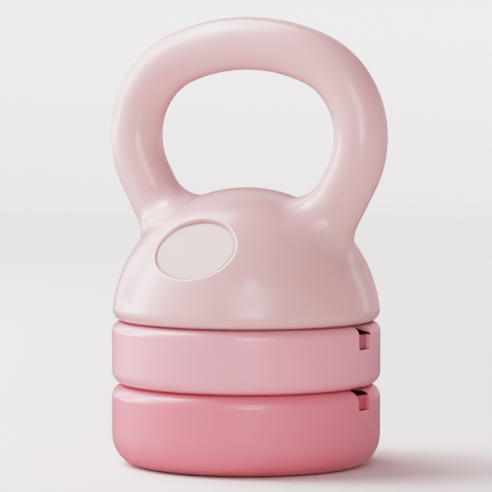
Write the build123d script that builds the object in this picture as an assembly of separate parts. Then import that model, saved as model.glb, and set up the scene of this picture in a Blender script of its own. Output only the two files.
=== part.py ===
from build123d import *
from types import SimpleNamespace
import math
import os

# Adjustable kettlebell: a hollow bell with a loop handle standing on two filled plates.
# Each part screws down on the hub of the plate below it, and a sprung tooth in the rim keeps it there.
# Millimetres and degrees. +Z is up, the floor is Z = 0, the handle loop lies in the XZ plane,
# the badge faces -Y and the latches face +X.

# Stack, from the floor up
body_diameter = 160.0
foot_stand = 0.8
lower_plate_height = 47.0
upper_plate_height = 37.0
seam_gap = 0.4
upper_rim_round = 5.4
lower_rim_round = 7.4
under_round = 7.8
bell_edge_round = 6.8
base_round = 13.8
base_round_height = 18.0

# Moulded walls
side_wall = 3.0
top_wall = 3.5
lip_thickness = 3.0
cover_thickness = 3.0
cover_land = 1.5
moulded_fit = 0.3
filling_gap = 0.3

# Dome and handle
dome_sink = 0.9
handle_height = 180.2
grip_diameter = 31.4
grip_wall = 3.6
handle_reach = 76.4
crown_radius = 121.3
shoulder_radius = 49.8
leg_lean = 28.8
root_blend = 23.0

# Badge
badge_width = 49.6
badge_height = 40.0
badge_tilt = 37.0
badge_end_depth = 1.4
badge_thickness = 1.2
badge_fit = 0.4
badge_floor = 2.5
badge_rim_round = 1.5
badge_edge = 0.8

# Screw coupling between the parts
hub_radius = 36.0
hub_height = 13.0
hub_wall = 5.0
hub_roof = 4.0
hub_flange_width = 12.0
hub_flange_thickness = 6.0
hub_edge = 1.5
thread_lead = 36.0
thread_starts = 3
lug_arc = 40.0
lug_width = 5.0
lug_depth = 3.6
lug_foot = 2.2
lug_root = 1.0
unscrew_turn = 150.0
groove_overrun = 10.0
groove_end_play = 1.0
coupling_fit = 0.4
socket_wall = 4.2
socket_roof = 3.0
ring_thickness = 2.4
ring_fit = 0.2
ring_inset = 2.0
ring_width = 10.0

# Latch in the rim of each plate
notch_width = 14.0
notch_corner = 2.0
notch_edge = 0.7
upper_button_drop = 5.2
lower_button_drop = 3.4
button_height = 8.4
button_recess = 2.8
button_fit = 0.3
button_edge = 0.4
button_flange = 2.2
button_flange_lip = 1.2
button_flange_side = 1.7
button_stem = 5.8
button_stem_width = 8.0
button_stem_height = 6.0
latch_wall = 4.0
latch_fit = 0.2
press_travel = 2.5
pocket_side = 5.0
pocket_wall = 2.0
pocket_depth = 18.5
pocket_floor = 8.0
upper_pocket_roof = 2.2
lower_pocket_roof = 1.6
pocket_roof_play = 1.1
pocket_roof_run = 8.0
blade_thickness = 0.8
blade_width = 9.0
blade_room = 2.0
blade_bend = 0.4
tooth_width = 7.0
tooth_rise = 3.4
tooth_play = 0.7
tooth_clear = 0.8
keeper_fit = 0.5
channel_depth = 4.6
channel_roof = 3.0
channel_wall = 2.5
channel_setback = 0.5
channel_edge = 0.2
leaf_foot = 6.4
leaf_screw_offset = 0.6

# Screws
screw_count = 4
first_screw_angle = 45.0
screw_radius = 1.9
screw_play = 0.1
screw_head_radius = 3.8
screw_head_height = 2.2
screw_head_play = 0.4
screw_head_sink = 0.2
screw_length = 13.0
screw_hole_end = 1.0
post_radius = 5.0
pad_radius = 7.0
pad_height = 5.5
hub_screw_count = 3
first_hub_screw_angle = 90.0
hub_screw_length = 9.0
latch_screw_radius = 1.2
latch_screw_head_radius = 2.4
latch_screw_head_height = 1.5
latch_screw_length = 6.0
drive_length = 4.0
drive_width = 0.9
drive_depth = 1.1

# Foot ring
foot_width = 3.0
foot_seat = 1.2
foot_play = 0.1
foot_edge = 0.5
foot_land = 1.0

# Levels
outer_radius = body_diameter / 2
inner_radius = outer_radius - side_wall
lower_base = foot_stand
lower_top = lower_base + lower_plate_height
upper_base = lower_top + seam_gap
upper_top = upper_base + upper_plate_height
bell_base = upper_top + seam_gap
handle_top = bell_base + handle_height
dome_radius = outer_radius
dome_centre = bell_base - dome_sink

# Radii of the coupling
socket_radius = hub_radius + coupling_fit
socket_depth = hub_height + ring_thickness + 2 * ring_fit - seam_gap
cup_radius = socket_radius + lug_depth + socket_wall
cup_height = socket_depth + socket_roof
flange_radius = hub_radius + hub_flange_width
hub_screw_circle = hub_radius + hub_flange_width / 2

# Radial positions of the latch, from the rim inwards
pocket_front = outer_radius - latch_wall
flange_front = pocket_front - latch_fit
stem_front = flange_front - button_flange
stem_end = stem_front - button_stem
blade_front = stem_end - latch_fit
blade_back = blade_front - blade_thickness
pocket_back = blade_back - press_travel - blade_room
channel_inner = pocket_back + channel_setback
channel_outer = blade_back - tooth_clear
keeper_outer = blade_front + keeper_fit
leaf_screw_place = blade_front + leaf_foot / 2 + leaf_screw_offset

# Covers and what they carry
cover_radius = outer_radius - under_round - cover_land
base_cover_radius = outer_radius - base_round - cover_land
cover_seat = pad_height - screw_head_height - screw_head_sink
screw_seat_level = pad_height - cover_seat
head_room = screw_head_radius + screw_head_play
channel_ring_inner = channel_inner - channel_wall
channel_ring_outer = min(keeper_outer + channel_wall, cover_radius - channel_edge)
channel_top = channel_depth + channel_roof
foot_outer = base_cover_radius - cover_land
foot_inner = foot_outer - foot_width
post_circle = (flange_radius + channel_ring_inner) / 2
base_post_circle = foot_inner - foot_land - head_room

upper = SimpleNamespace(
    base=upper_base, top=upper_top, rim=upper_rim_round, low_wide=under_round, low_tall=under_round,
    opening=cover_radius, posts=post_circle, drop=upper_button_drop, roof=upper_pocket_roof,
)
lower = SimpleNamespace(
    base=lower_base, top=lower_top, rim=lower_rim_round, low_wide=base_round, low_tall=base_round_height,
    opening=base_cover_radius, posts=base_post_circle, drop=lower_button_drop, roof=lower_pocket_roof,
)

os.makedirs("parts", exist_ok=True)


def disc(radius, low, high):
    # round block about the main axis
    return Pos(0, 0, low) * Cylinder(radius, high - low, align=(Align.CENTER, Align.CENTER, Align.MIN))


def ring(outer, inner, low, high):
    return disc(outer, low, high) - disc(inner, low - 1, high + 1)


def block(back, front, width, low, high):
    # rectangular block from radius back to radius front on the +X side
    centre = Pos((back + front) / 2, 0, (low + high) / 2)
    return centre * Box(front - back, width, high - low)


def turned(radius, low, high, top_round, low_wide, low_tall):
    # round block with a rounded top edge; its lower rounding can be taller than it is wide
    outline = [
        Line((0, low), (radius - low_wide, low)),
        EllipticalCenterArc((radius - low_wide, low + low_tall), low_wide, low_tall, -90, arc_size=90),
        Line((radius, low + low_tall), (radius, high - top_round)),
        CenterArc((radius - top_round, high - top_round), top_round, 0, 90),
        Line((radius - top_round, high), (0, high)),
        Line((0, high), (0, low)),
    ]
    return Rot(0, 0, 90) * revolve(Plane.XZ * make_face(outline), Axis.Z, 360)


def around(count, radius, first):
    return [Rot(0, 0, first + 360 * k / count) * Pos(radius, 0, 0) for k in range(count)]


def cover_spots(circle):
    return around(screw_count, circle, first_screw_angle)


def hub_spots():
    return around(hub_screw_count, hub_screw_circle, first_hub_screw_angle)


def cross_drive(top):
    # cross recess sunk in a screw head whose upper face is at top
    arm = Pos(0, 0, top - drive_depth / 2) * Box(drive_length, drive_width, drive_depth)
    return arm + Rot(0, 0, 90) * arm


def pan_screw(radius, length, head_radius, head_height):
    # head upwards, seat of the head at Z = 0
    head = disc(head_radius, 0, head_height)
    head = fillet(head.edges().group_by(Axis.Z)[-1], head_height * 0.4)
    return head + disc(radius, -length, 0) - cross_drive(head_height)


def flush_screw(radius, length, head_radius):
    # countersunk, upper face at Z = 0
    depth = head_radius - radius
    head = Pos(0, 0, -depth / 2) * Cone(radius, head_radius, depth)
    return head + disc(radius, -length, -depth) - cross_drive(0)


def thread_bar(inner, outer, width, first, arc, level):
    # bar of rectangular section that climbs along the thread
    middle = (inner + outer) / 2
    path = Helix(pitch=thread_lead, height=thread_lead * arc / 360, radius=middle)
    section = Plane(origin=path @ 0, x_dir=(1, 0, 0), z_dir=path % 0) * Rectangle(outer - inner, width)
    return Pos(0, 0, level) * Rot(0, 0, first) * sweep(section, path=path, is_frenet=True)


def thread_lugs(level):
    # lugs of a hub whose plate has its top face at level
    middle = level + lug_foot + lug_width / 2
    inner = hub_radius - lug_root
    outer = hub_radius + lug_depth
    first = [360 * k / thread_starts for k in range(thread_starts)]
    return [thread_bar(inner, outer, lug_width, a, lug_arc, middle) for a in first]


def thread_grooves(level):
    # paths of those lugs as the part above is unscrewed, with play all round
    back = unscrew_turn + groove_overrun
    middle = level + lug_foot + lug_width / 2 - thread_lead * back / 360
    inner = hub_radius - lug_root
    outer = hub_radius + lug_depth + coupling_fit
    width = lug_width + 2 * coupling_fit
    arc = back + lug_arc + groove_end_play
    first = [360 * k / thread_starts - back for k in range(thread_starts)]
    return [thread_bar(inner, outer, width, a, arc, middle) for a in first]


def plate_outside(p):
    return turned(outer_radius, p.base, p.top, p.rim, p.low_wide, p.low_tall)


def plate_inside(p, gap):
    # cavity of a plate, or with a gap the filling that takes its shape
    wall = side_wall + gap
    floor = lip_thickness + gap
    roof = top_wall + gap
    return turned(outer_radius - wall, p.base + floor, p.top - roof, p.rim - wall, p.low_wide - wall,
                  p.low_tall - floor)


def notch_shape(width, low, high, corner, back, front):
    # upright opening with rounded corners, cut radially through the rim
    outline = Pos(0, (low + high) / 2) * RectangleRounded(width, high - low, corner)
    return Pos(back, 0, 0) * extrude(Plane.YZ * outline, front - back)


def latch_housing(p, grow):
    # box inside the rim that holds the latch
    width = notch_width + 2 * pocket_side + 2 * pocket_wall + 2 * grow
    low = p.top - pocket_depth - pocket_floor - grow
    return block(pocket_back - pocket_wall - grow, inner_radius + 1, width, low, p.top - top_wall + 1)


def latch_pocket(p):
    # its roof slopes down towards the rim, to just above the button
    floor = p.top - pocket_depth
    roof = p.top - p.roof
    rim_roof = p.top - p.drop + pocket_roof_play
    outline = Polyline((pocket_back, floor), (pocket_front, floor), (pocket_front, rim_roof),
                       (pocket_front - pocket_roof_run, roof), (pocket_back, roof), close=True)
    half = notch_width / 2 + pocket_side
    return extrude(Plane.XZ * make_face(outline), half, both=True)


def latch_openings(p):
    low = p.top - p.drop - button_height
    notch = notch_shape(notch_width, low, p.top + 10, notch_corner, pocket_back, outer_radius + 1)
    screw = disc(latch_screw_radius + screw_play, -latch_screw_length - screw_hole_end, 1)
    return [latch_pocket(p), notch, Pos(leaf_screw_place, 0, p.top - pocket_depth) * screw]


def on_rim(edge, p):
    # edges of the latch notch that lie in the outside of the rim
    spot = edge.center()
    low = p.top - p.drop - button_height - button_fit
    return spot.X > outer_radius - latch_wall / 2 and spot.Z > low


def plate_shell(p):
    outside = plate_outside(p)
    shell = outside - plate_inside(p, 0)
    shell -= disc(p.opening + moulded_fit, p.base - 1, p.base + lip_thickness + 1)
    shell += latch_housing(p, 0) & outside
    post = disc(post_radius, p.base + pad_height, p.top - top_wall + 1)
    shell += [spot * post for spot in cover_spots(p.posts)]
    closed = shell
    shell = closed - latch_openings(p)
    rim_edges = [edge for edge in new_edges(closed, *latch_openings(p), combined=shell) if on_rim(edge, p)]
    shell = fillet(rim_edges, notch_edge)
    shell -= disc(hub_radius + moulded_fit, p.top - top_wall - 1, p.top + 1)
    shell -= [spot * post_hole(p.base) for spot in cover_spots(p.posts)]
    return shell - [Pos(0, 0, p.top) * spot * hub_screw_sink() for spot in hub_spots()]


def post_hole(base):
    return disc(screw_radius + screw_play, base, base + screw_seat_level + screw_length + screw_hole_end)


def hub_screw_sink():
    depth = screw_head_radius - screw_radius
    head = Pos(0, 0, -depth / 2) * Cone(screw_radius + screw_play, screw_head_radius + screw_play, depth)
    return head + disc(screw_radius + screw_play, -hub_screw_length - screw_hole_end, 0)


def plate_hub(p):
    # the flange is relieved where the screw posts of the shell pass it
    seat = p.top - top_wall
    flange_low = seat - hub_flange_thickness
    collar = disc(hub_radius, seat, p.top + hub_height)
    collar = chamfer(collar.edges().group_by(Axis.Z)[-1], hub_edge)
    flange = disc(flange_radius, flange_low, seat)
    relief = disc(post_radius + moulded_fit, flange_low - 1, seat + 1)
    flange -= [spot * relief for spot in cover_spots(p.posts)]
    hub = collar + thread_lugs(p.top) + flange
    hub -= disc(hub_radius - hub_wall, flange_low - 1, p.top + hub_height - hub_roof)
    hole = disc(screw_radius + screw_play, p.top - hub_screw_length - screw_hole_end, p.top)
    return hub - [spot * hole for spot in hub_spots()]


def cover_screw_cuts(base, circle):
    head = disc(head_room, base - 1, base + screw_seat_level)
    shank = disc(screw_radius + screw_play, base - 1, base + pad_height + 1)
    return [spot * (head + shank) for spot in cover_spots(circle)]


def cover_pads(base, circle):
    return [spot * disc(pad_radius, base, base + pad_height) for spot in cover_spots(circle)]


def socket_cover(base):
    # closes a part from below and takes the hub and the latch tooth of the plate underneath
    cover = disc(cover_radius, base, base + cover_thickness) + disc(cup_radius, base, base + cup_height)
    cover += ring(channel_ring_outer, channel_ring_inner, base, base + channel_top)
    cover += cover_pads(base, post_circle)
    cover -= disc(socket_radius, base - 1, base + socket_depth)
    cover -= thread_grooves(base - seam_gap)
    cover -= ring(channel_outer, channel_inner, base - 1, base + channel_depth)
    keeper_width = tooth_width + 2 * tooth_play
    cover -= block(channel_inner + 1, keeper_outer, keeper_width, base - 1, base + channel_depth)
    return cover - cover_screw_cuts(base, post_circle)


def closed_cover(p):
    cover = disc(p.opening, p.base, p.base + cover_thickness) + cover_pads(p.base, p.posts)
    cover -= ring(foot_outer, foot_inner, p.base - 1, p.base + foot_seat)
    return cover - cover_screw_cuts(p.base, p.posts)


def cover_screws(base, circle):
    screw = pan_screw(screw_radius, screw_length, screw_head_radius, screw_head_height)
    screw = Pos(0, 0, base + screw_seat_level) * Rot(180, 0, 0) * screw
    return Compound(children=[spot * screw for spot in cover_spots(circle)])


def hub_screws(p):
    screw = Pos(0, 0, p.top) * flush_screw(screw_radius, hub_screw_length, screw_head_radius)
    return Compound(children=[spot * screw for spot in hub_spots()])


def post_room(base, top, circle):
    # room left in a filling for the screw posts and their pads
    post = disc(post_radius + filling_gap, base, top)
    pad = disc(pad_radius + filling_gap, base, base + pad_height + filling_gap)
    return [spot * piece for spot in cover_spots(circle) for piece in (post, pad)]


def socket_room(base):
    # room left in a filling for the cup and the latch channel of a socket cover
    cup = disc(cup_radius + filling_gap, base, base + cup_height + filling_gap)
    channel_end = base + channel_top + filling_gap
    return [cup, ring(outer_radius, channel_ring_inner - filling_gap, base, channel_end)]


def plate_ballast(p):
    # the filling also runs up into the hollow of the hub
    flange_low = p.top - top_wall - hub_flange_thickness - filling_gap
    core_top = p.top + hub_height - hub_roof - filling_gap
    filling = plate_inside(p, filling_gap)
    filling -= latch_housing(p, filling_gap)
    filling -= disc(flange_radius + filling_gap, flange_low, p.top)
    filling += disc(hub_radius - hub_wall - filling_gap, flange_low - 1, core_top)
    return filling - post_room(p.base, p.top, p.posts)


def latch_button(p):
    high = p.top - p.drop
    low = high - button_height + button_fit
    width = notch_width - 2 * button_fit
    face = outer_radius - button_recess
    root = flange_front - 0.5
    pad = notch_shape(width, low, high, notch_corner - button_fit, root, outer_radius)
    pad += block(root, outer_radius, width, (low + high) / 2, high)
    pad &= disc(face, low - 5, high + 5)
    pad = fillet(pad.faces().sort_by(Axis.X)[-1].edges(), button_edge)
    flange_width = notch_width + 2 * button_flange_side
    flange = block(stem_front, flange_front, flange_width, low - button_flange_lip, high)
    stem_low = (low + high - button_stem_height) / 2
    stem = block(stem_end, stem_front + 0.5, button_stem_width, stem_low, stem_low + button_stem_height)
    return pad + flange + stem


def latch_spring(p):
    floor = p.top - pocket_depth
    neck = p.top - top_wall
    foot = block(blade_back, blade_front + leaf_foot, blade_width, floor, floor + blade_thickness)
    leaf = foot + block(blade_back, blade_front, blade_width, floor, neck)
    outer_corner = leaf.edges().filter_by(Axis.Y).sort_by(lambda e: e.center().X + e.center().Z)[0]
    leaf = fillet(outer_corner, blade_thickness + blade_bend)
    leaf += block(blade_back, blade_front, tooth_width, neck - 1, p.top + tooth_rise)
    return leaf - Pos(leaf_screw_place, 0, floor) * disc(latch_screw_radius + screw_play, -1, 2)


def latch_screw(p):
    seat = Pos(leaf_screw_place, 0, p.top - pocket_depth + blade_thickness)
    return seat * pan_screw(latch_screw_radius, latch_screw_length, latch_screw_head_radius,
                            latch_screw_head_height)


def friction_ring(p):
    low = p.top + hub_height + ring_fit
    outer = hub_radius - ring_inset
    return ring(outer, outer - ring_width, low, low + ring_thickness)


def handle_bar(radius):
    # loop of the handle: flat crown, round shoulders and straight legs that run into the dome
    crown_level = handle_top - grip_diameter / 2
    crown_centre = crown_level - crown_radius
    shoulder_x = handle_reach - shoulder_radius
    shoulder_z = crown_centre + math.sqrt((crown_radius - shoulder_radius) ** 2 - shoulder_x**2)
    join = math.degrees(math.atan2(shoulder_z - crown_centre, shoulder_x))
    lean = math.radians(leg_lean)
    leg_x = shoulder_x + shoulder_radius * math.cos(lean)
    leg_z = shoulder_z - shoulder_radius * math.sin(lean)
    leg_length = (leg_z - dome_centre - outer_radius * 0.4) / math.cos(lean)
    foot_x = leg_x - leg_length * math.sin(lean)
    foot_z = leg_z - leg_length * math.cos(lean)
    path = Wire([
        Line((foot_x, foot_z), (leg_x, leg_z)),
        CenterArc((shoulder_x, shoulder_z), shoulder_radius, -leg_lean, join + leg_lean),
        CenterArc((0, crown_centre), crown_radius, join, 180 - 2 * join),
        CenterArc((-shoulder_x, shoulder_z), shoulder_radius, 180 - join, join + leg_lean),
        Line((-leg_x, leg_z), (-foot_x, foot_z)),
    ])
    path = Plane.XZ * path
    return sweep(Plane(origin=path @ 0, z_dir=path % 0) * Circle(radius), path=path)


def dome(radius, floor):
    # the seam of the ball is turned to the back
    ball = Pos(0, 0, dome_centre) * Rot(0, 0, 90) * Sphere(radius)
    return ball & disc(radius + 1, floor, dome_centre + radius + 1)


def dome_inside(gap):
    # cavity of the dome, or with a gap the filling that takes its shape
    wall = side_wall + gap
    body = dome(dome_radius - wall, bell_base + lip_thickness + gap)
    return fillet(body.edges().group_by(Axis.Z)[0], bell_edge_round - wall)


def badge_plane():
    # plane that touches the dome at the middle of the badge, facing out
    tilt = math.radians(badge_tilt)
    out = Vector(0, -math.cos(tilt), math.sin(tilt))
    return Plane(origin=Vector(0, 0, dome_centre) + out * dome_radius, x_dir=(1, 0, 0), z_dir=out)


def badge_level():
    # face of the badge, measured from the plane that touches the dome
    half = badge_width / 2
    return math.sqrt(dome_radius**2 - half**2) - dome_radius - badge_end_depth


def oval(grow, low, high):
    outline = Ellipse(badge_width / 2 + grow, badge_height / 2 + grow)
    return badge_plane() * Pos(0, 0, low) * extrude(outline, high - low)


def bell_shell():
    ball = dome(dome_radius, bell_base)
    bar = handle_bar(grip_diameter / 2)
    body = ball + bar
    body = fillet(new_edges(ball, bar, combined=body), root_blend)
    body = fillet(body.edges().group_by(Axis.Z)[0], bell_edge_round)
    cavity = dome_inside(0) + handle_bar(grip_diameter / 2 - grip_wall)
    cavity += disc(cover_radius + moulded_fit, bell_base - 1, bell_base + lip_thickness + 1)
    shell = body - cavity
    within = dome(dome_radius - side_wall / 2, bell_base + pad_height)
    post = disc(post_radius, bell_base + pad_height, handle_top)
    shell += [spot * post & within for spot in cover_spots(post_circle)]
    shell -= [spot * post_hole(bell_base) for spot in cover_spots(post_circle)]
    seat = badge_level() - badge_thickness
    shell += oval(badge_floor, seat - badge_floor, 0) & within
    recess = oval(badge_fit, seat, 20)
    opened = shell - recess
    rim = new_edges(shell, recess, combined=opened).sort_by(lambda edge: edge.length)[-1]
    return fillet(rim, badge_rim_round)


def badge():
    plate = oval(0, badge_level() - badge_thickness, badge_level())
    out = badge_plane().z_dir
    front = plate.faces().sort_by(lambda face: face.center().dot(out))[-1]
    return fillet(front.edges(), badge_edge)


def bell_ballast():
    # the filling also runs round the bore of the handle
    filling = dome_inside(filling_gap) + handle_bar(grip_diameter / 2 - grip_wall - filling_gap)
    filling -= socket_room(bell_base)
    filling -= post_room(bell_base, dome_centre + dome_radius, post_circle)
    seat = badge_level() - badge_thickness
    return filling - oval(badge_floor + filling_gap, seat - badge_floor - filling_gap, 20)


def foot_ring():
    foot = ring(foot_outer - foot_play, foot_inner + foot_play, 0, foot_stand + foot_seat)
    return fillet(foot.edges().group_by(Axis.Z)[0], foot_edge)


nodes = {
    "bell_shell": bell_shell(),
    "badge_plate": badge(),
    "bell_ballast": bell_ballast(),
    "bell_base_cover": socket_cover(bell_base),
    "bell_cover_screws": cover_screws(bell_base, post_circle),
    "foot_ring": foot_ring(),
}

for name, plate in (("upper", upper), ("lower", lower)):
    nodes[name + "_plate_shell"] = plate_shell(plate)
    nodes[name + "_plate_hub"] = plate_hub(plate)
    nodes[name + "_hub_screws"] = hub_screws(plate)
    nodes[name + "_cover_screws"] = cover_screws(plate.base, plate.posts)
    nodes[name + "_latch_button"] = latch_button(plate)
    nodes[name + "_latch_spring"] = latch_spring(plate)
    nodes[name + "_latch_screw"] = latch_screw(plate)
    nodes[name + "_friction_ring"] = friction_ring(plate)

nodes["upper_plate_ballast"] = plate_ballast(upper) - socket_room(upper.base)
nodes["upper_base_cover"] = socket_cover(upper.base)
nodes["lower_plate_ballast"] = plate_ballast(lower)
nodes["lower_base_cover"] = closed_cover(lower)

for name, node in nodes.items():
    node.label = name
    export_step(node, f"parts/{name}.step")
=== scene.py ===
import bpy
import bmesh
import math
from mathutils import Matrix, Vector


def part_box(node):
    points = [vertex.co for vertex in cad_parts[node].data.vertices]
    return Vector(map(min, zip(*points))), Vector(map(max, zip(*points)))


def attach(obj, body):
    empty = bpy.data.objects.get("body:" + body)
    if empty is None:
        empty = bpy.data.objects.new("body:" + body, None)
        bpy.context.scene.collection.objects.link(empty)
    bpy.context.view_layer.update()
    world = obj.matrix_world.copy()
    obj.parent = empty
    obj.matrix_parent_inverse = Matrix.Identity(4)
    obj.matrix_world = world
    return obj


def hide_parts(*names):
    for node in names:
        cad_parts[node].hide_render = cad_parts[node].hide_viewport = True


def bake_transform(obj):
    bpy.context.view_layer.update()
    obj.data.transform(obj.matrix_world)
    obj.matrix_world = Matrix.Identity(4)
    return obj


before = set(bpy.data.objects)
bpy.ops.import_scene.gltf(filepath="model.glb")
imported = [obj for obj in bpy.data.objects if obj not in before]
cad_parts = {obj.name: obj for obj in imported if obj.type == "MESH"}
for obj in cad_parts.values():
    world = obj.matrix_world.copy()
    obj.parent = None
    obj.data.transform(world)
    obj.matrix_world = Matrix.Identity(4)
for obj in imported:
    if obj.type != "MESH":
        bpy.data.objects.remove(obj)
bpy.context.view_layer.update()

print("frame loaded:", len(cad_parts), "nodes")

mmPerMetre = 1000  # patterns are given in mm, and the frame is in metres
smoothAngle = 40.0  # degrees, edges sharper than this stay crisp


def hexLinear(code):
    # sRGB hex to linear rgba
    out = []
    for at in (1, 3, 5):
        c = int(code[at:at + 2], 16) / 255
        out.append(c / 12.92 if c <= 0.04045 else ((c + 0.055) / 1.055) ** 2.4)
    return (*out, 1.0)


def addNode(tree, kind, settings=None, links=None, stops=()):
    # one node: settings go to sockets by name or number, else to properties; links feed it; stops fill a ramp
    node = tree.nodes.new(kind)
    for key, value in (settings or {}).items():
        if isinstance(key, str) and key not in node.inputs:
            setattr(node, key, value)
        else:
            node.inputs[key].default_value = value
    for socket, source in (links or {}).items():
        tree.links.new(source, node.inputs[socket])
    for k, (place, colour) in enumerate(stops):
        node.color_ramp.elements[k].position = place
        node.color_ramp.elements[k].color = colour
    return node


def newMaterial(name):
    material = bpy.data.materials.new(name)
    material.use_nodes = True
    material.node_tree.nodes.clear()
    return material, material.node_tree


def closeMaterial(tree, s, shaderValues, colour, roughness, height):
    # the end of every surface of the part: bump, shader and output
    bump = addNode(tree, "ShaderNodeBump", {"Strength": s["relief"], "Distance": s["depth"] / mmPerMetre},
                   {"Height": height})
    shader = addNode(tree, "ShaderNodeBsdfPrincipled", shaderValues,
                     {"Base Color": colour, "Roughness": roughness, "Normal": bump.outputs["Normal"]})
    addNode(tree, "ShaderNodeOutputMaterial", {}, {"Surface": shader.outputs["BSDF"]})


# camera, solved from the plate edges, the seams and the handle in the photograph
photoCamera = {"azimuth": 29.40, "distance": 1.8008, "height": 0.2329, "pitch": 3.279, "roll": 0.105,
               "lens": 221.73, "sensor": 36.0, "shift": -0.00085, "reach": 50.0}


def placeCamera(s):
    data = bpy.data.cameras.new("photoCamera")
    data.lens = s["lens"]
    data.sensor_width = s["sensor"]
    data.shift_x = s["shift"]
    data.clip_end = s["reach"]
    cam = bpy.data.objects.new("photoCamera", data)
    turn = math.radians(s["azimuth"])
    stand = Vector((s["distance"] * math.sin(turn), -s["distance"] * math.cos(turn), s["height"]))
    cam.matrix_world = (Matrix.Translation(stand) @ Matrix.Rotation(turn, 4, "Z")
                        @ Matrix.Rotation(math.radians(90 - s["pitch"]), 4, "X")
                        @ Matrix.Rotation(math.radians(s["roll"]), 4, "Z"))
    bpy.context.scene.collection.objects.link(cam)
    bpy.context.scene.camera = cam


placeCamera(photoCamera)
print("camera placed")


# ABS, injection moulded and lightly polished: a soft broad sheen with a narrower gloss over it, a faint
# grain, and a slow drift of tone where the melt cooled unevenly; the real grain is about 0.3 mm and too
# fine to show, so it is drawn at 1.1 mm
blushAbs = {"name": "blushSatinAbs", "colour": "#dcb6b7", "roughness": 0.5, "gloss": 0.2, "grain": 1.1,
            "depth": 0.004, "relief": 1.0}
pinkAbs = {"name": "pinkSatinAbs", "colour": "#e7a9b2", "roughness": 0.5, "gloss": 0.2, "grain": 1.1,
           "depth": 0.004, "relief": 1.0, "hollow": ("upper_plate_shell", "upper_latch_button")}
roseAbs = {"name": "roseSatinAbs", "colour": "#e38d98", "roughness": 0.5, "gloss": 0.2, "grain": 1.1,
           "depth": 0.004, "relief": 1.0, "hollow": ("lower_plate_shell", "lower_latch_button")}
# the latch buttons are coloured deeper than their plates: painted shade of the recess each sits in
pinkButtonShadedAbs = {"name": "pinkButtonShadedAbs", "colour": "#b0606f", "roughness": 0.5, "gloss": 0.25, "grain": 1.1,
                 "depth": 0.004, "relief": 1.0}
roseButtonShadedAbs = {"name": "roseButtonShadedAbs", "colour": "#bf5a69", "roughness": 0.5, "gloss": 0.25, "grain": 1.1,
                 "depth": 0.004, "relief": 1.0}
# the badge is the same plastic in pale grey from a finer tool, so it is flatter and more matt
badgeAbs = {"name": "badgeMattAbs", "colour": "#b9a1a0", "roughness": 0.42, "gloss": 0.42, "grain": 0.9,
            "depth": 0.008, "relief": 1.0}
# what all of them share: clouds of tone in mm, how far they deepen and pale the colour, and how far the
# clouds, with a share of the grain, change the sheen
absMelt = {"cloud": 60.0, "cloudDetail": 2.0, "grainDetail": 1.5, "deepAt": 0.35, "paleAt": 0.65,
           "deep": (0.985, 0.97, 0.97), "pale": (1.0, 1.02, 1.02), "grainShare": 0.35,
           "sheenLow": 0.4, "sheenHigh": 1.0, "sheenSpan": 0.05, "ior": 1.53, "skinIor": 1.5}
# the walls of the latch hollows are painted deep maroon as painted shade, the dark gap above each button: a
# wide pocket behind the rim and a narrower mouth through it, both measured in from the plate's edge
hollowShadePaint = {"colour": "#64181e", "back": 0.03, "pocketFront": 0.0038, "mouthFront": 0.0005,
                "pocketHalf": 0.0125, "mouthHalf": 0.0072, "pocketDeep": 0.0195, "underButton": 0.0001,
                "lip": 0.0011, "rise": 0.22, "skin": 0.0012}


def hollowShadeMask(tree, place, shell, button, shadePaint):
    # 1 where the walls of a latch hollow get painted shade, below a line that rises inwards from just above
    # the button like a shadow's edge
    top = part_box(shell)[1][2]
    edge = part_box(shell)[1][1]
    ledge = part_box(button)[1][2] - shadePaint["underButton"]
    front = edge - shadePaint["mouthFront"]
    roof = ledge + shadePaint["lip"] + shadePaint["rise"] * front
    spot = addNode(tree, "ShaderNodeSeparateXYZ", {}, {0: place.outputs["Object"]})
    side = addNode(tree, "ShaderNodeMath", {"operation": "ABSOLUTE"}, {0: spot.outputs["Y"]})
    tilt = addNode(tree, "ShaderNodeMath", {"operation": "MULTIPLY_ADD", 1: shadePaint["rise"]},
                   {0: spot.outputs["X"], 2: spot.outputs["Z"]})
    shared = [("GREATER_THAN", spot.outputs["X"], edge - shadePaint["back"]),
              ("LESS_THAN", tilt.outputs["Value"], roof),
              ("LESS_THAN", spot.outputs["Z"], top - shadePaint["skin"])]
    pocket = shared + [("LESS_THAN", spot.outputs["X"], edge - shadePaint["pocketFront"]),
                       ("LESS_THAN", side.outputs["Value"], shadePaint["pocketHalf"]),
                       ("GREATER_THAN", spot.outputs["Z"], top - shadePaint["pocketDeep"])]
    mouth = shared + [("LESS_THAN", spot.outputs["X"], front),
                      ("LESS_THAN", side.outputs["Value"], shadePaint["mouthHalf"]),
                      ("GREATER_THAN", spot.outputs["Z"], ledge)]
    found = []
    for tests in (pocket, mouth):
        inside = None
        for operation, value, limit in tests:
            passed = addNode(tree, "ShaderNodeMath", {"operation": operation, 1: limit}, {0: value})
            if inside:
                passed = addNode(tree, "ShaderNodeMath", {"operation": "MULTIPLY"},
                                 {0: inside.outputs["Value"], 1: passed.outputs["Value"]})
            inside = passed
        found.append(inside.outputs["Value"])
    either = addNode(tree, "ShaderNodeMath", {"operation": "MAXIMUM"}, {0: found[0], 1: found[1]})
    return either.outputs["Value"]


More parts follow.
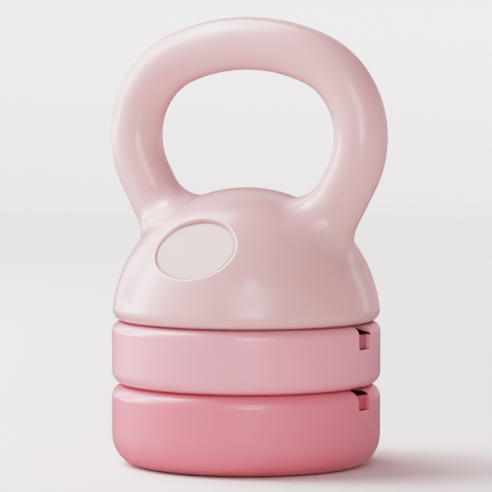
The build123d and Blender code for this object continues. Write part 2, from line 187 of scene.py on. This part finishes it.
def satinAbs(s, melt):
    material, tree = newMaterial(s["name"])
    place = addNode(tree, "ShaderNodeTexCoord")
    drift = addNode(tree, "ShaderNodeTexNoise",
                    {"Scale": mmPerMetre / melt["cloud"], "Detail": melt["cloudDetail"]},
                    {"Vector": place.outputs["Object"]})
    grain = addNode(tree, "ShaderNodeTexNoise",
                    {"Scale": mmPerMetre / s["grain"], "Detail": melt["grainDetail"]},
                    {"Vector": place.outputs["Object"]})
    base = hexLinear(s["colour"])
    deep = [c * f for c, f in zip(base, melt["deep"])] + [1.0]
    pale = [c * f for c, f in zip(base, melt["pale"])] + [1.0]
    tone = addNode(tree, "ShaderNodeValToRGB", {}, {"Fac": drift.outputs["Fac"]},
                   [(melt["deepAt"], deep), (melt["paleAt"], pale)])
    colour = tone.outputs["Color"]
    # painted shade: the walls of the latch hollow take the deep maroon where the mask is 1
    if "hollow" in s:
        shell, button = s["hollow"]
        mask = hollowShadeMask(tree, place, shell, button, hollowShadePaint)
        shaded = addNode(tree, "ShaderNodeMixRGB", {"Color2": hexLinear(hollowShadePaint["colour"])},
                        {"Fac": mask, "Color1": colour})
        colour = shaded.outputs["Color"]
    mixed = addNode(tree, "ShaderNodeMath", {"operation": "MULTIPLY_ADD", 1: melt["grainShare"]},
                    {0: grain.outputs["Fac"], 2: drift.outputs["Fac"]})
    sheen = addNode(tree, "ShaderNodeMapRange",
                    {"From Min": melt["sheenLow"], "From Max": melt["sheenHigh"],
                     "To Min": s["roughness"] - melt["sheenSpan"],
                     "To Max": s["roughness"] + melt["sheenSpan"]},
                    {"Value": mixed.outputs["Value"]})
    closeMaterial(tree, s, {"IOR": melt["ior"], "Coat Weight": 1.0, "Coat Roughness": s["gloss"],
                            "Coat IOR": melt["skinIor"]},
                  colour, sheen.outputs["Result"], grain.outputs["Fac"])
    return material


# glass-filled nylon, moulded: off-white, a little translucent looking, with flow marks and a dry sheen
hubNylon = {"name": "hubNylon", "colour": "#d8d2c8", "fibre": "#c6bfb3", "fibreAt": 0.3, "colourAt": 0.62,
            "roughLow": 0.38, "roughHigh": 0.56, "flow": 7.0, "swirl": 1.2, "flowDetail": 4.0, "grain": 0.8,
            "grainDetail": 2.0, "depth": 0.03, "relief": 0.7, "ior": 1.53}


def mouldedNylon(s):
    material, tree = newMaterial(s["name"])
    place = addNode(tree, "ShaderNodeTexCoord")
    flow = addNode(tree, "ShaderNodeTexNoise",
                   {"Scale": mmPerMetre / s["flow"], "Detail": s["flowDetail"], "Distortion": s["swirl"]},
                   {"Vector": place.outputs["Object"]})
    grain = addNode(tree, "ShaderNodeTexNoise",
                    {"Scale": mmPerMetre / s["grain"], "Detail": s["grainDetail"]},
                    {"Vector": place.outputs["Object"]})
    tone = addNode(tree, "ShaderNodeValToRGB", {}, {"Fac": flow.outputs["Fac"]},
                   [(s["fibreAt"], hexLinear(s["fibre"])), (s["colourAt"], hexLinear(s["colour"]))])
    gloss = addNode(tree, "ShaderNodeMapRange", {"To Min": s["roughLow"], "To Max": s["roughHigh"]},
                    {"Value": flow.outputs["Fac"]})
    closeMaterial(tree, s, {"IOR": s["ior"]}, tone.outputs["Color"], gloss.outputs["Result"],
                  grain.outputs["Fac"])
    return material


# EPDM rubber, moulded: matt charcoal with a bloom of pale dust on the high grain
ringRubber = {"name": "ringRubber", "colour": "#2a292a", "bloom": "#454243", "roughness": 0.78, "grain": 0.9,
              "depth": 0.06, "relief": 0.8}
# acrylic adhesive, squeezed out and cured: milky and pale, with a dull skin
bondAcrylic = {"name": "badgeBondAcrylic", "colour": "#c4adac", "bloom": "#cdb9b8", "roughness": 0.5,
               "grain": 0.9, "depth": 0.005, "relief": 0.8}
# matt, in a darkened version of its plate's colour with a pale bloom: painted shade of the seam groove
pinkSeamShadePaint = {"name": "pinkSeamShadePaint", "colour": "#955460", "bloom": "#9e5f6b", "roughness": 0.62,
               "grain": 0.9, "depth": 0.01, "relief": 0.8}
roseSeamShadePaint = {"name": "roseSeamShadePaint", "colour": "#a44052", "bloom": "#ad4c5e", "roughness": 0.62,
               "grain": 0.9, "depth": 0.01, "relief": 0.8}
# what the soft ones share: patches of dust in mm, where the bloom sets in, and how far it dulls the sheen
softBloom = {"patch": 14.0, "detail": 3.0, "colourAt": 0.2, "bloomAt": 0.45, "roughSpan": 0.1, "ior": 1.52}


def softPolymer(s, bloom):
    material, tree = newMaterial(s["name"])
    place = addNode(tree, "ShaderNodeTexCoord")
    grain = addNode(tree, "ShaderNodeTexNoise",
                    {"Scale": mmPerMetre / s["grain"], "Detail": bloom["detail"]},
                    {"Vector": place.outputs["Object"]})
    dust = addNode(tree, "ShaderNodeTexNoise",
                   {"Scale": mmPerMetre / bloom["patch"], "Detail": bloom["detail"]},
                   {"Vector": place.outputs["Object"]})
    lift = addNode(tree, "ShaderNodeMath", {"operation": "MULTIPLY"},
                   {0: grain.outputs["Fac"], 1: dust.outputs["Fac"]})
    tone = addNode(tree, "ShaderNodeValToRGB", {}, {"Fac": lift.outputs["Value"]},
                   [(bloom["colourAt"], hexLinear(s["colour"])), (bloom["bloomAt"], hexLinear(s["bloom"]))])
    gloss = addNode(tree, "ShaderNodeMapRange",
                    {"To Min": s["roughness"] - bloom["roughSpan"],
                     "To Max": s["roughness"] + bloom["roughSpan"]},
                    {"Value": dust.outputs["Fac"]})
    closeMaterial(tree, s, {"IOR": bloom["ior"]}, tone.outputs["Color"], gloss.outputs["Result"],
                  grain.outputs["Fac"])
    return material


# steel, cold headed and zinc plated: bright bluish silver with cloudy patches in the plating
screwZinc = {"name": "screwZinc", "colour": "#b4b8bd", "cloud": "#c9c4b6", "roughLow": 0.22, "roughHigh": 0.4,
             "patch": 2.5, "stretch": (1, 1, 1), "depth": 0.006, "relief": 0.6}
# hardened spring strip, rolled and blued: near black with fine bright lines along the rolling
stripSteel = {"name": "bluedSpringSteel", "colour": "#26292f", "cloud": "#454a52", "roughLow": 0.28,
              "roughHigh": 0.46, "patch": 0.6, "stretch": (1, 1, 0.06), "depth": 0.004, "relief": 0.6}
# what both steels share: where the colour turns to the cloudy one
steelClouds = {"detail": 3.0, "colourAt": 0.35, "cloudAt": 0.7}


def coatedSteel(s, clouds):
    material, tree = newMaterial(s["name"])
    place = addNode(tree, "ShaderNodeTexCoord")
    along = addNode(tree, "ShaderNodeMapping", {"Scale": s["stretch"]}, {"Vector": place.outputs["Object"]})
    patch = addNode(tree, "ShaderNodeTexNoise",
                    {"Scale": mmPerMetre / s["patch"], "Detail": clouds["detail"]},
                    {"Vector": along.outputs["Vector"]})
    tone = addNode(tree, "ShaderNodeValToRGB", {}, {"Fac": patch.outputs["Fac"]},
                   [(clouds["colourAt"], hexLinear(s["colour"])), (clouds["cloudAt"], hexLinear(s["cloud"]))])
    gloss = addNode(tree, "ShaderNodeMapRange", {"To Min": s["roughLow"], "To Max": s["roughHigh"]},
                    {"Value": patch.outputs["Fac"]})
    closeMaterial(tree, s, {"Metallic": 1.0}, tone.outputs["Color"], gloss.outputs["Result"],
                  patch.outputs["Fac"])
    return material


# cement mortar, cast: grey paste, sand grains and pinholes; it stays inside the shells
castCement = {"name": "castCement", "paste": "#8f8b86", "sand": "#b3ab9c", "sandAt": 0.1, "pasteAt": 0.4,
              "roughLow": 0.8, "roughHigh": 0.98, "grit": 1.6, "cloud": 20.0, "cloudDetail": 4.0,
              "depth": 0.3, "relief": 0.8, "ior": 1.55}


def castMortar(s):
    material, tree = newMaterial(s["name"])
    place = addNode(tree, "ShaderNodeTexCoord")
    grit = addNode(tree, "ShaderNodeTexVoronoi", {"Scale": mmPerMetre / s["grit"]},
                   {"Vector": place.outputs["Object"]})
    cloud = addNode(tree, "ShaderNodeTexNoise",
                    {"Scale": mmPerMetre / s["cloud"], "Detail": s["cloudDetail"]},
                    {"Vector": place.outputs["Object"]})
    tone = addNode(tree, "ShaderNodeValToRGB", {}, {"Fac": grit.outputs["Distance"]},
                   [(s["sandAt"], hexLinear(s["sand"])), (s["pasteAt"], hexLinear(s["paste"]))])
    gloss = addNode(tree, "ShaderNodeMapRange", {"To Min": s["roughLow"], "To Max": s["roughHigh"]},
                    {"Value": cloud.outputs["Fac"]})
    closeMaterial(tree, s, {"IOR": s["ior"]}, tone.outputs["Color"], gloss.outputs["Result"],
                  grit.outputs["Distance"])
    return material


finishes = {
    "blush": satinAbs(blushAbs, absMelt),
    "pink": satinAbs(pinkAbs, absMelt),
    "rose": satinAbs(roseAbs, absMelt),
    "pinkButton": satinAbs(pinkButtonShadedAbs, absMelt),
    "roseButton": satinAbs(roseButtonShadedAbs, absMelt),
    "badge": satinAbs(badgeAbs, absMelt),
    "nylon": mouldedNylon(hubNylon),
    "rubber": softPolymer(ringRubber, softBloom),
    "bond": softPolymer(bondAcrylic, softBloom),
    "pinkSeamShade": softPolymer(pinkSeamShadePaint, softBloom),
    "roseSeamShade": softPolymer(roseSeamShadePaint, softBloom),
    "zinc": coatedSteel(screwZinc, steelClouds),
    "strip": coatedSteel(stripSteel, steelClouds),
    "cement": castMortar(castCement),
}
print("materials made:", len(finishes))

nodeFinish = {
    "blush": ["bell_shell", "bell_base_cover"],
    "pink": ["upper_plate_shell", "upper_base_cover"],
    "rose": ["lower_plate_shell", "lower_base_cover"],
    "pinkButton": ["upper_latch_button"],
    "roseButton": ["lower_latch_button"],
    "badge": ["badge_plate"],
    "nylon": ["upper_plate_hub", "lower_plate_hub"],
    "rubber": ["upper_friction_ring", "lower_friction_ring", "foot_ring"],
    "zinc": ["bell_cover_screws", "upper_cover_screws", "lower_cover_screws", "upper_hub_screws",
             "lower_hub_screws", "upper_latch_screw", "lower_latch_screw"],
    "strip": ["upper_latch_spring", "lower_latch_spring"],
    "cement": ["bell_ballast", "upper_plate_ballast", "lower_plate_ballast"],
}
for finish, names in nodeFinish.items():
    for name in names:
        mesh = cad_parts[name].data
        mesh.materials.clear()
        mesh.materials.append(finishes[finish])
print("CAD nodes dressed")


def pieceFromMesh(name, bm, finish):
    # a finished piece in the scene, smooth but for its sharp edges
    mesh = bpy.data.meshes.new(name)
    bm.to_mesh(mesh)
    bm.free()
    mesh.polygons.foreach_set("use_smooth", [True] * len(mesh.polygons))
    mesh.set_sharp_from_angle(angle=math.radians(smoothAngle))
    mesh.materials.append(finishes[finish])
    piece = bpy.data.objects.new(name, mesh)
    bpy.context.scene.collection.objects.link(piece)
    return piece


def joinSections(bm, first, second):
    # quads between two closed sections with as many points each
    count = len(first)
    for k in range(count):
        n = (k + 1) % count
        bm.faces.new((first[k], second[k], second[n], first[n]))


# latch springs: a blanked strip each, folded up from a screwed foot, with a narrower tooth at the top
latchStrip = {"thick": 0.0008, "foldRound": 0.0004, "toothWide": 0.007, "tooth": 0.0069, "shoulder": 0.0008,
              "tipRound": 0.0014, "hole": 0.0014, "holeFromEnd": 0.0026, "edge": 0.00012, "edgeSteps": 2,
              "sharpFrom": 60.0, "rows": 26, "foldShare": 0.2, "columns": 6, "footSteps": 4}
latchBodies = {"lower_latch_spring": ("lower_plate", "lower_latch_button"),
               "upper_latch_spring": ("upper_plate", "upper_latch_button")}


def stripHalfWidth(s, fromTip, wide):
    # half the width of the blank: a blade, a short sloped shoulder and a round-ended tooth
    half = wide / 2
    if fromTip < s["tooth"] + s["shoulder"]:
        share = max(0.0, (fromTip - s["tooth"]) / s["shoulder"])
        half = s["toothWide"] / 2 + (half - s["toothWide"] / 2) * share
    if fromTip < s["tipRound"]:
        drop = s["tipRound"] - fromTip
        half -= s["tipRound"] - math.sqrt(max(0.0, s["tipRound"] ** 2 - drop ** 2))
    return half


def buildLatchStrip(s, node):
    low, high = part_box(node)
    wide = high[1] - low[1]
    middle = s["thick"] / 2
    outer = s["thick"] + s["foldRound"]  # outside radius of the fold
    foot = high[0] - low[0] - outer
    fold = (outer - middle) * math.pi / 2
    whole = foot + fold + high[2] - low[2] - outer

    def folded(run, across, lift):
        # a point of the flat blank, run from the foot's free end, put where the folded strip has it
        if run <= foot:
            return Vector((high[0] - run, across, low[2] + middle + lift))
        if run <= foot + fold:
            turn = (run - foot) / fold * math.pi / 2
            radius = outer - middle - lift
            x = low[0] + outer - radius * math.sin(turn)
            z = low[2] + outer - radius * math.cos(turn)
            return Vector((x, across, z))
        return Vector((low[0] + middle + lift, across, low[2] + outer + run - foot - fold))

    # flat blank: the foot is a ring of quads round the screw hole, the rest is rows across the strip
    columns = s["columns"]
    steps = s["footSteps"]
    acrossEnd = [wide * (k / columns - 0.5) for k in range(columns + 1)]
    border = [(foot, y) for y in acrossEnd]
    border += [(foot * (1 - k / steps), wide / 2) for k in range(1, steps)]
    border += [(0.0, y) for y in reversed(acrossEnd)]
    border += [(foot * k / steps, -wide / 2) for k in range(1, steps)]
    count = len(border)
    hole = []
    for run, across in border:
        aim = math.atan2(across, run - s["holeFromEnd"])
        hole.append((s["holeFromEnd"] + s["hole"] * math.cos(aim), s["hole"] * math.sin(aim)))
    rows = []
    for k in range(1, s["rows"] + 1):
        share = k / s["rows"]
        if share <= s["foldShare"]:
            run = foot + fold * share / s["foldShare"]  # close rows round the fold
        else:
            run = foot + fold + (whole - foot - fold) * (share - s["foldShare"]) / (1 - s["foldShare"])
        half = stripHalfWidth(s, whole - run, wide)
        rows.append([(run, half * (2 * c / columns - 1)) for c in range(columns + 1)])

    bm = bmesh.new()
    sides = []
    for lift in (middle, -middle):
        ringOut = [bm.verts.new(folded(run, across, lift)) for run, across in border]
        ringIn = [bm.verts.new(folded(run, across, lift)) for run, across in hole]
        strip = [ringOut[:columns + 1]]
        strip += [[bm.verts.new(folded(run, across, lift)) for run, across in row] for row in rows]
        sides.append((ringOut, ringIn, strip))
        joinSections(bm, ringOut, ringIn)
        for first, second in zip(strip, strip[1:]):
            for c in range(columns):
                bm.faces.new((first[c], first[c + 1], second[c + 1], second[c]))

    # the strip's thickness: round the hole, round the foot, up both sides and over the tip
    (outTop, inTop, stripTop), (outLow, inLow, stripLow) = sides
    joinSections(bm, inTop, inLow)
    for k in range(columns, count):
        n = (k + 1) % count
        bm.faces.new((outTop[k], outTop[n], outLow[n], outLow[k]))
    for k in range(len(rows)):
        for c in (0, columns):
            bm.faces.new((stripTop[k][c], stripTop[k + 1][c], stripLow[k + 1][c], stripLow[k][c]))
    for c in range(columns):
        bm.faces.new((stripTop[-1][c], stripTop[-1][c + 1], stripLow[-1][c + 1], stripLow[-1][c]))
    bmesh.ops.recalc_face_normals(bm, faces=bm.faces)
    sharpFrom = math.radians(s["sharpFrom"])
    sharp = [e for e in bm.edges if e.is_manifold and e.calc_face_angle() > sharpFrom]
    bmesh.ops.bevel(bm, geom=sharp, offset=s["edge"], segments=s["edgeSteps"], profile=0.5, affect="EDGES")
    return pieceFromMesh(node + "_strip", bm, "strip")


for node, (plate, button) in latchBodies.items():
    strip = buildLatchStrip(latchStrip, node)
    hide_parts(node)
    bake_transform(strip)
print("latch springs folded")


# seam shade fills: a thin strip on the top of each plate, coloured as painted shade to give the deep red line
# under the part above;
# it fills the foot of the groove between the two rolled edges and stops short on both sides of the latch
seamShadeFill = {"inner": 0.0700, "slack": 0.00004, "bulge": 0.0001, "latchHalf": 0.0080, "steps": 240,
            "samples": 5}
seamPlaces = {
    "lowerSeamShadeFill": {"body": "lower_plate", "below": "lower_plate_shell", "above": "upper_plate_shell",
                      "belowRound": 0.0074, "aboveRound": 0.0078, "outer": 0.0746,
                      "finish": "roseSeamShade", "slot": "rose_plastic"},
    "upperSeamShadeFill": {"body": "upper_plate", "below": "upper_plate_shell", "above": "bell_shell",
                      "belowRound": 0.0054, "aboveRound": 0.0068, "outer": 0.0756,
                      "finish": "pinkSeamShade", "slot": "pink_plastic"},
}


def edgeDrop(radius, rounding, edge):
    # how far a rolled edge has fallen away from its flat face at this radius
    past = max(0.0, radius - (edge - rounding))
    return rounding - math.sqrt(rounding ** 2 - past ** 2)


def buildSeamShadeFill(name, s, place):
    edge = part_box(place["below"])[1][0]
    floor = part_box(place["below"])[1][2] + s["slack"]
    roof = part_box(place["above"])[0][2] - s["slack"]
    radii = [s["inner"] + (place["outer"] - s["inner"]) * k / s["samples"] for k in range(s["samples"] + 1)]
    section = [(radius, floor - edgeDrop(radius, place["belowRound"], edge)) for radius in radii]
    back = [(radius, roof + edgeDrop(radius, place["aboveRound"], edge)) for radius in reversed(radii)]
    section += [(place["outer"] + s["bulge"], (section[-1][1] + back[0][1]) / 2)] + back
    start = s["latchHalf"] / place["outer"]
    bm = bmesh.new()
    rows = []
    for k in range(s["steps"] + 1):
        turn = start + (2 * math.pi - 2 * start) * k / s["steps"]
        rows.append([bm.verts.new((r * math.cos(turn), r * math.sin(turn), z)) for r, z in section])
    for first, second in zip(rows, rows[1:]):
        joinSections(bm, first, second)
    bm.faces.new(rows[0])
    bm.faces.new(rows[-1])
    bmesh.ops.recalc_face_normals(bm, faces=bm.faces)
    return pieceFromMesh(name, bm, place["finish"])


for name, place in seamPlaces.items():
    shadeFill = buildSeamShadeFill(name, seamShadeFill, place)
    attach(shadeFill, place["body"])
print("seam seals laid")


# badge bond: the line of adhesive that fills the groove between the badge and its recess, just below the face
badgeBond = {"tilt": 37.0, "groove": 0.0004, "edge": 0.0008, "sink": 0.00012, "slack": 0.00002, "steps": 144,
             "samples": 4}


def buildBadgeBond(s):
    tilt = math.radians(s["tilt"])
    outward = Vector((0, -math.cos(tilt), math.sin(tilt)))
    across = Vector((1, 0, 0))
    up = Vector((0, math.sin(tilt), math.cos(tilt)))
    badge = [v.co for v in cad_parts["badge_plate"].data.vertices]
    spans = []
    for axis in (across, up, outward):
        along = [p.dot(axis) for p in badge]
        spans.append((min(along), max(along)))
    (left, right), (bottom, top), (back, face) = spans
    half, rise = (right - left) / 2, (top - bottom) / 2
    middle = across * (left + right) / 2 + up * (bottom + top) / 2

    # section of the bond, as (outwards from the badge's side, below the badge's face)
    bed = face - back - s["slack"]
    section = [(s["groove"] - s["slack"], bed), (s["groove"] - s["slack"], s["sink"])]
    for k in range(s["samples"] + 1):
        below = s["sink"] + (s["edge"] - s["sink"]) * k / s["samples"]
        inset = s["edge"] - math.sqrt(s["edge"] ** 2 - (s["edge"] - below) ** 2)
        section.append((s["slack"] - inset, below))
    section.append((s["slack"], bed))
    bm = bmesh.new()
    rows = []
    for k in range(s["steps"]):
        turn = 2 * math.pi * k / s["steps"]
        facing = Vector((rise * math.cos(turn), half * math.sin(turn))).normalized()
        row = []
        for out, below in section:
            x = half * math.cos(turn) + facing.x * out
            y = rise * math.sin(turn) + facing.y * out
            row.append(bm.verts.new(middle + across * x + up * y + outward * (face - below)))
        rows.append(row)
    for first, second in zip(rows, rows[1:] + rows[:1]):
        joinSections(bm, first, second)
    bmesh.ops.recalc_face_normals(bm, faces=bm.faces)
    return pieceFromMesh("badgeBond", bm, "bond")


bond = buildBadgeBond(badgeBond)
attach(bond, "bell")
print("badge bond laid")


# studio: a white acrylic sweep that rises all round, lit from beneath so that it stays white far out
whiteSweep = {"flat": 3.4, "bend": 0.3, "wall": 0.2, "colour": "#f6f3f2", "roughness": 0.9, "steps": 96,
              "bendSteps": 12, "glowFrom": 0.3, "glowTo": 2.6, "glowNear": 0.0, "glowFar": 0.9}


def buildSweep(s):
    profile = [(s["flat"], 0.0)]
    for k in range(1, s["bendSteps"] + 1):
        turn = math.pi / 2 * k / s["bendSteps"]
        profile.append((s["flat"] + s["bend"] * math.sin(turn), s["bend"] * (1 - math.cos(turn))))
    profile.append((s["flat"] + s["bend"], s["bend"] + s["wall"]))
    bm = bmesh.new()
    rows = []
    for radius, level in profile:
        row = []
        for k in range(s["steps"]):
            turn = 2 * math.pi * k / s["steps"]
            row.append(bm.verts.new((radius * math.cos(turn), radius * math.sin(turn), level)))
        rows.append(row)
    bm.faces.new(rows[0])
    for low, high in zip(rows, rows[1:]):
        for k in range(s["steps"]):
            n = (k + 1) % s["steps"]
            bm.faces.new((low[k], low[n], high[n], high[k]))
    mesh = bpy.data.meshes.new("whiteSweep")
    bm.normal_update()
    bm.to_mesh(mesh)
    bm.free()
    for face in mesh.polygons:
        face.use_smooth = len(face.vertices) == 4  # the bend and wall, not the flat floor
    sweep = bpy.data.objects.new("whiteSweep", mesh)
    bpy.context.scene.collection.objects.link(sweep)
    material, tree = newMaterial("opalAcrylic")  # cast opal sheet: milky, matt, glows evenly
    place = addNode(tree, "ShaderNodeTexCoord")
    away = addNode(tree, "ShaderNodeVectorMath", {"operation": "LENGTH"}, {0: place.outputs["Object"]})
    glow = addNode(tree, "ShaderNodeMapRange",
                   {"interpolation_type": "SMOOTHSTEP", "From Min": s["glowFrom"], "From Max": s["glowTo"],
                    "To Min": s["glowNear"], "To Max": s["glowFar"]},
                   {"Value": away.outputs["Value"]})
    shader = addNode(tree, "ShaderNodeBsdfPrincipled",
                     {"Base Color": hexLinear(s["colour"]), "Roughness": s["roughness"],
                      "Emission Color": (1, 1, 1, 1)},
                     {"Emission Strength": glow.outputs["Result"]})
    addNode(tree, "ShaderNodeOutputMaterial", {}, {"Surface": shader.outputs["BSDF"]})
    mesh.materials.append(material)
    sweep.visible_glossy = False  # it lights the part, but doesn't wash over the gloss of its edges


buildSweep(whiteSweep)
print("sweep built")

# soft boxes, placed by their angle to the right of the camera and above the floor, aimed at the dome
softBoxes = {
    "topLeft": {"side": -130, "up": 62, "far": 1.9, "size": (1.3, 1.0), "power": 22.0},
    "leftHighBack": {"side": -105, "up": 46, "far": 1.7, "size": (0.6, 0.95), "power": 11.0},
    "leftHighFront": {"side": -86, "up": 46, "far": 1.7, "size": (0.6, 0.95), "power": 11.2},
    "leftLowBack": {"side": -105, "up": 15, "far": 1.7, "size": (0.6, 0.9), "power": 12.5},
    "leftLowFront": {"side": -86, "up": 15, "far": 1.7, "size": (0.6, 0.9), "power": 2.8},
    "leftBack": {"side": -135, "up": 30, "far": 1.8, "size": (0.8, 1.2), "power": 7.2},
    "front": {"side": 5.5, "up": 21, "far": 2, "size": (1.3, 0.65), "power": 7.4},
    "frontSpot": {"side": 5, "up": 32, "far": 2, "size": (0.4, 0.4), "power": 2.4},
    "frontLow": {"side": 4, "up": 5, "far": 2, "size": (0.6, 0.5), "power": 6.3},
    "back": {"side": 180, "up": 35, "far": 2, "size": (1.6, 0.8), "power": 2.0},
    "rightStrip": {"side": 124, "up": 10, "far": 1.8, "size": (0.35, 0.6), "power": 1.3},
    "rightWall": {"side": 152, "up": 8, "far": 1.9, "size": (1.2, 0.9), "power": 1.8, "colour": "#ffd0d6"},
    "leftRim": {"side": -143, "up": 4, "far": 1.8, "size": (0.6, 0.5), "power": 1.6},
    "leftFoot": {"side": -122, "up": 0, "far": 1.8, "size": (0.5, 0.2), "power": 2.2},
}
studioAim = (0.0, 0.0, 0.13)


def placeLights(boxes, aim):
    for name, s in boxes.items():
        data = bpy.data.lights.new(name, "AREA")
        data.shape = "RECTANGLE"
        data.size, data.size_y = s["size"]
        data.energy = s["power"]
        data.color = hexLinear(s.get("colour", "#ffffff"))[:3]  # plain white unless a gel is named
        lamp = bpy.data.objects.new(name, data)
        turn = math.radians(photoCamera["azimuth"] + s["side"])
        up = math.radians(s["up"])
        away = Vector((math.sin(turn) * math.cos(up), -math.cos(turn) * math.cos(up), math.sin(up)))
        lamp.location = Vector(aim) + away * s["far"]
        lamp.rotation_euler = away.to_track_quat("Z", "Y").to_euler()
        lamp.visible_camera = False  # the boxes light the part and stay out of the picture
        bpy.context.scene.collection.objects.link(lamp)


# a blush-white room over a rose ground, which only the edges that face down mirror
roomGlow = {"strength": 0.476, "walls": "#ffe7eb", "ground": "#f06a7c", "low": -0.75, "high": -0.2}


def lightRoom(s):
    world = bpy.data.worlds.new("studioRoom")
    bpy.context.scene.world = world
    world.use_nodes = True
    tree = world.node_tree
    tree.nodes.clear()
    place = addNode(tree, "ShaderNodeTexCoord")
    heading = addNode(tree, "ShaderNodeSeparateXYZ", {}, {0: place.outputs["Generated"]})
    rise = addNode(tree, "ShaderNodeMapRange", {"From Min": s["low"], "From Max": s["high"]},
                   {"Value": heading.outputs["Z"]})
    tint = addNode(tree, "ShaderNodeMixRGB",
                   {"Color1": hexLinear(s["ground"]), "Color2": hexLinear(s["walls"])},
                   {"Fac": rise.outputs["Result"]})
    room = addNode(tree, "ShaderNodeBackground", {"Strength": s["strength"]},
                   {"Color": tint.outputs["Color"]})
    addNode(tree, "ShaderNodeOutputWorld", {}, {"Surface": room.outputs["Background"]})


placeLights(softBoxes, studioAim)
lightRoom(roomGlow)
print("studio lit")


# picture tone: a film-like curve, so lit plastic pales gently and the hollows keep their full colour
pictureTone = {"ceiling": 0.95, "knee": 1.6, "toe": 1.35, "white": 3.0, "points": 14, "crowding": 1.5}


def setTone(s):
    view = bpy.context.scene.view_settings
    view.view_transform = "Standard"
    view.use_curve_mapping = True
    view.curve_mapping.white_level = (s["white"], s["white"], s["white"])
    curve = view.curve_mapping.curves[3]  # the one for all three colours

    def shown(light):
        bent = light ** s["toe"]
        return bent / (1 + (bent / s["ceiling"]) ** s["knee"]) ** (1 / s["knee"])

    for k in range(1, s["points"]):
        share = (k / s["points"]) ** s["crowding"]  # closer together in the darks
        curve.points.new(share, shown(share * s["white"]))
    curve.points[-1].location = (1.0, shown(s["white"]))
    view.curve_mapping.update()


setTone(pictureTone)
print("tone set")
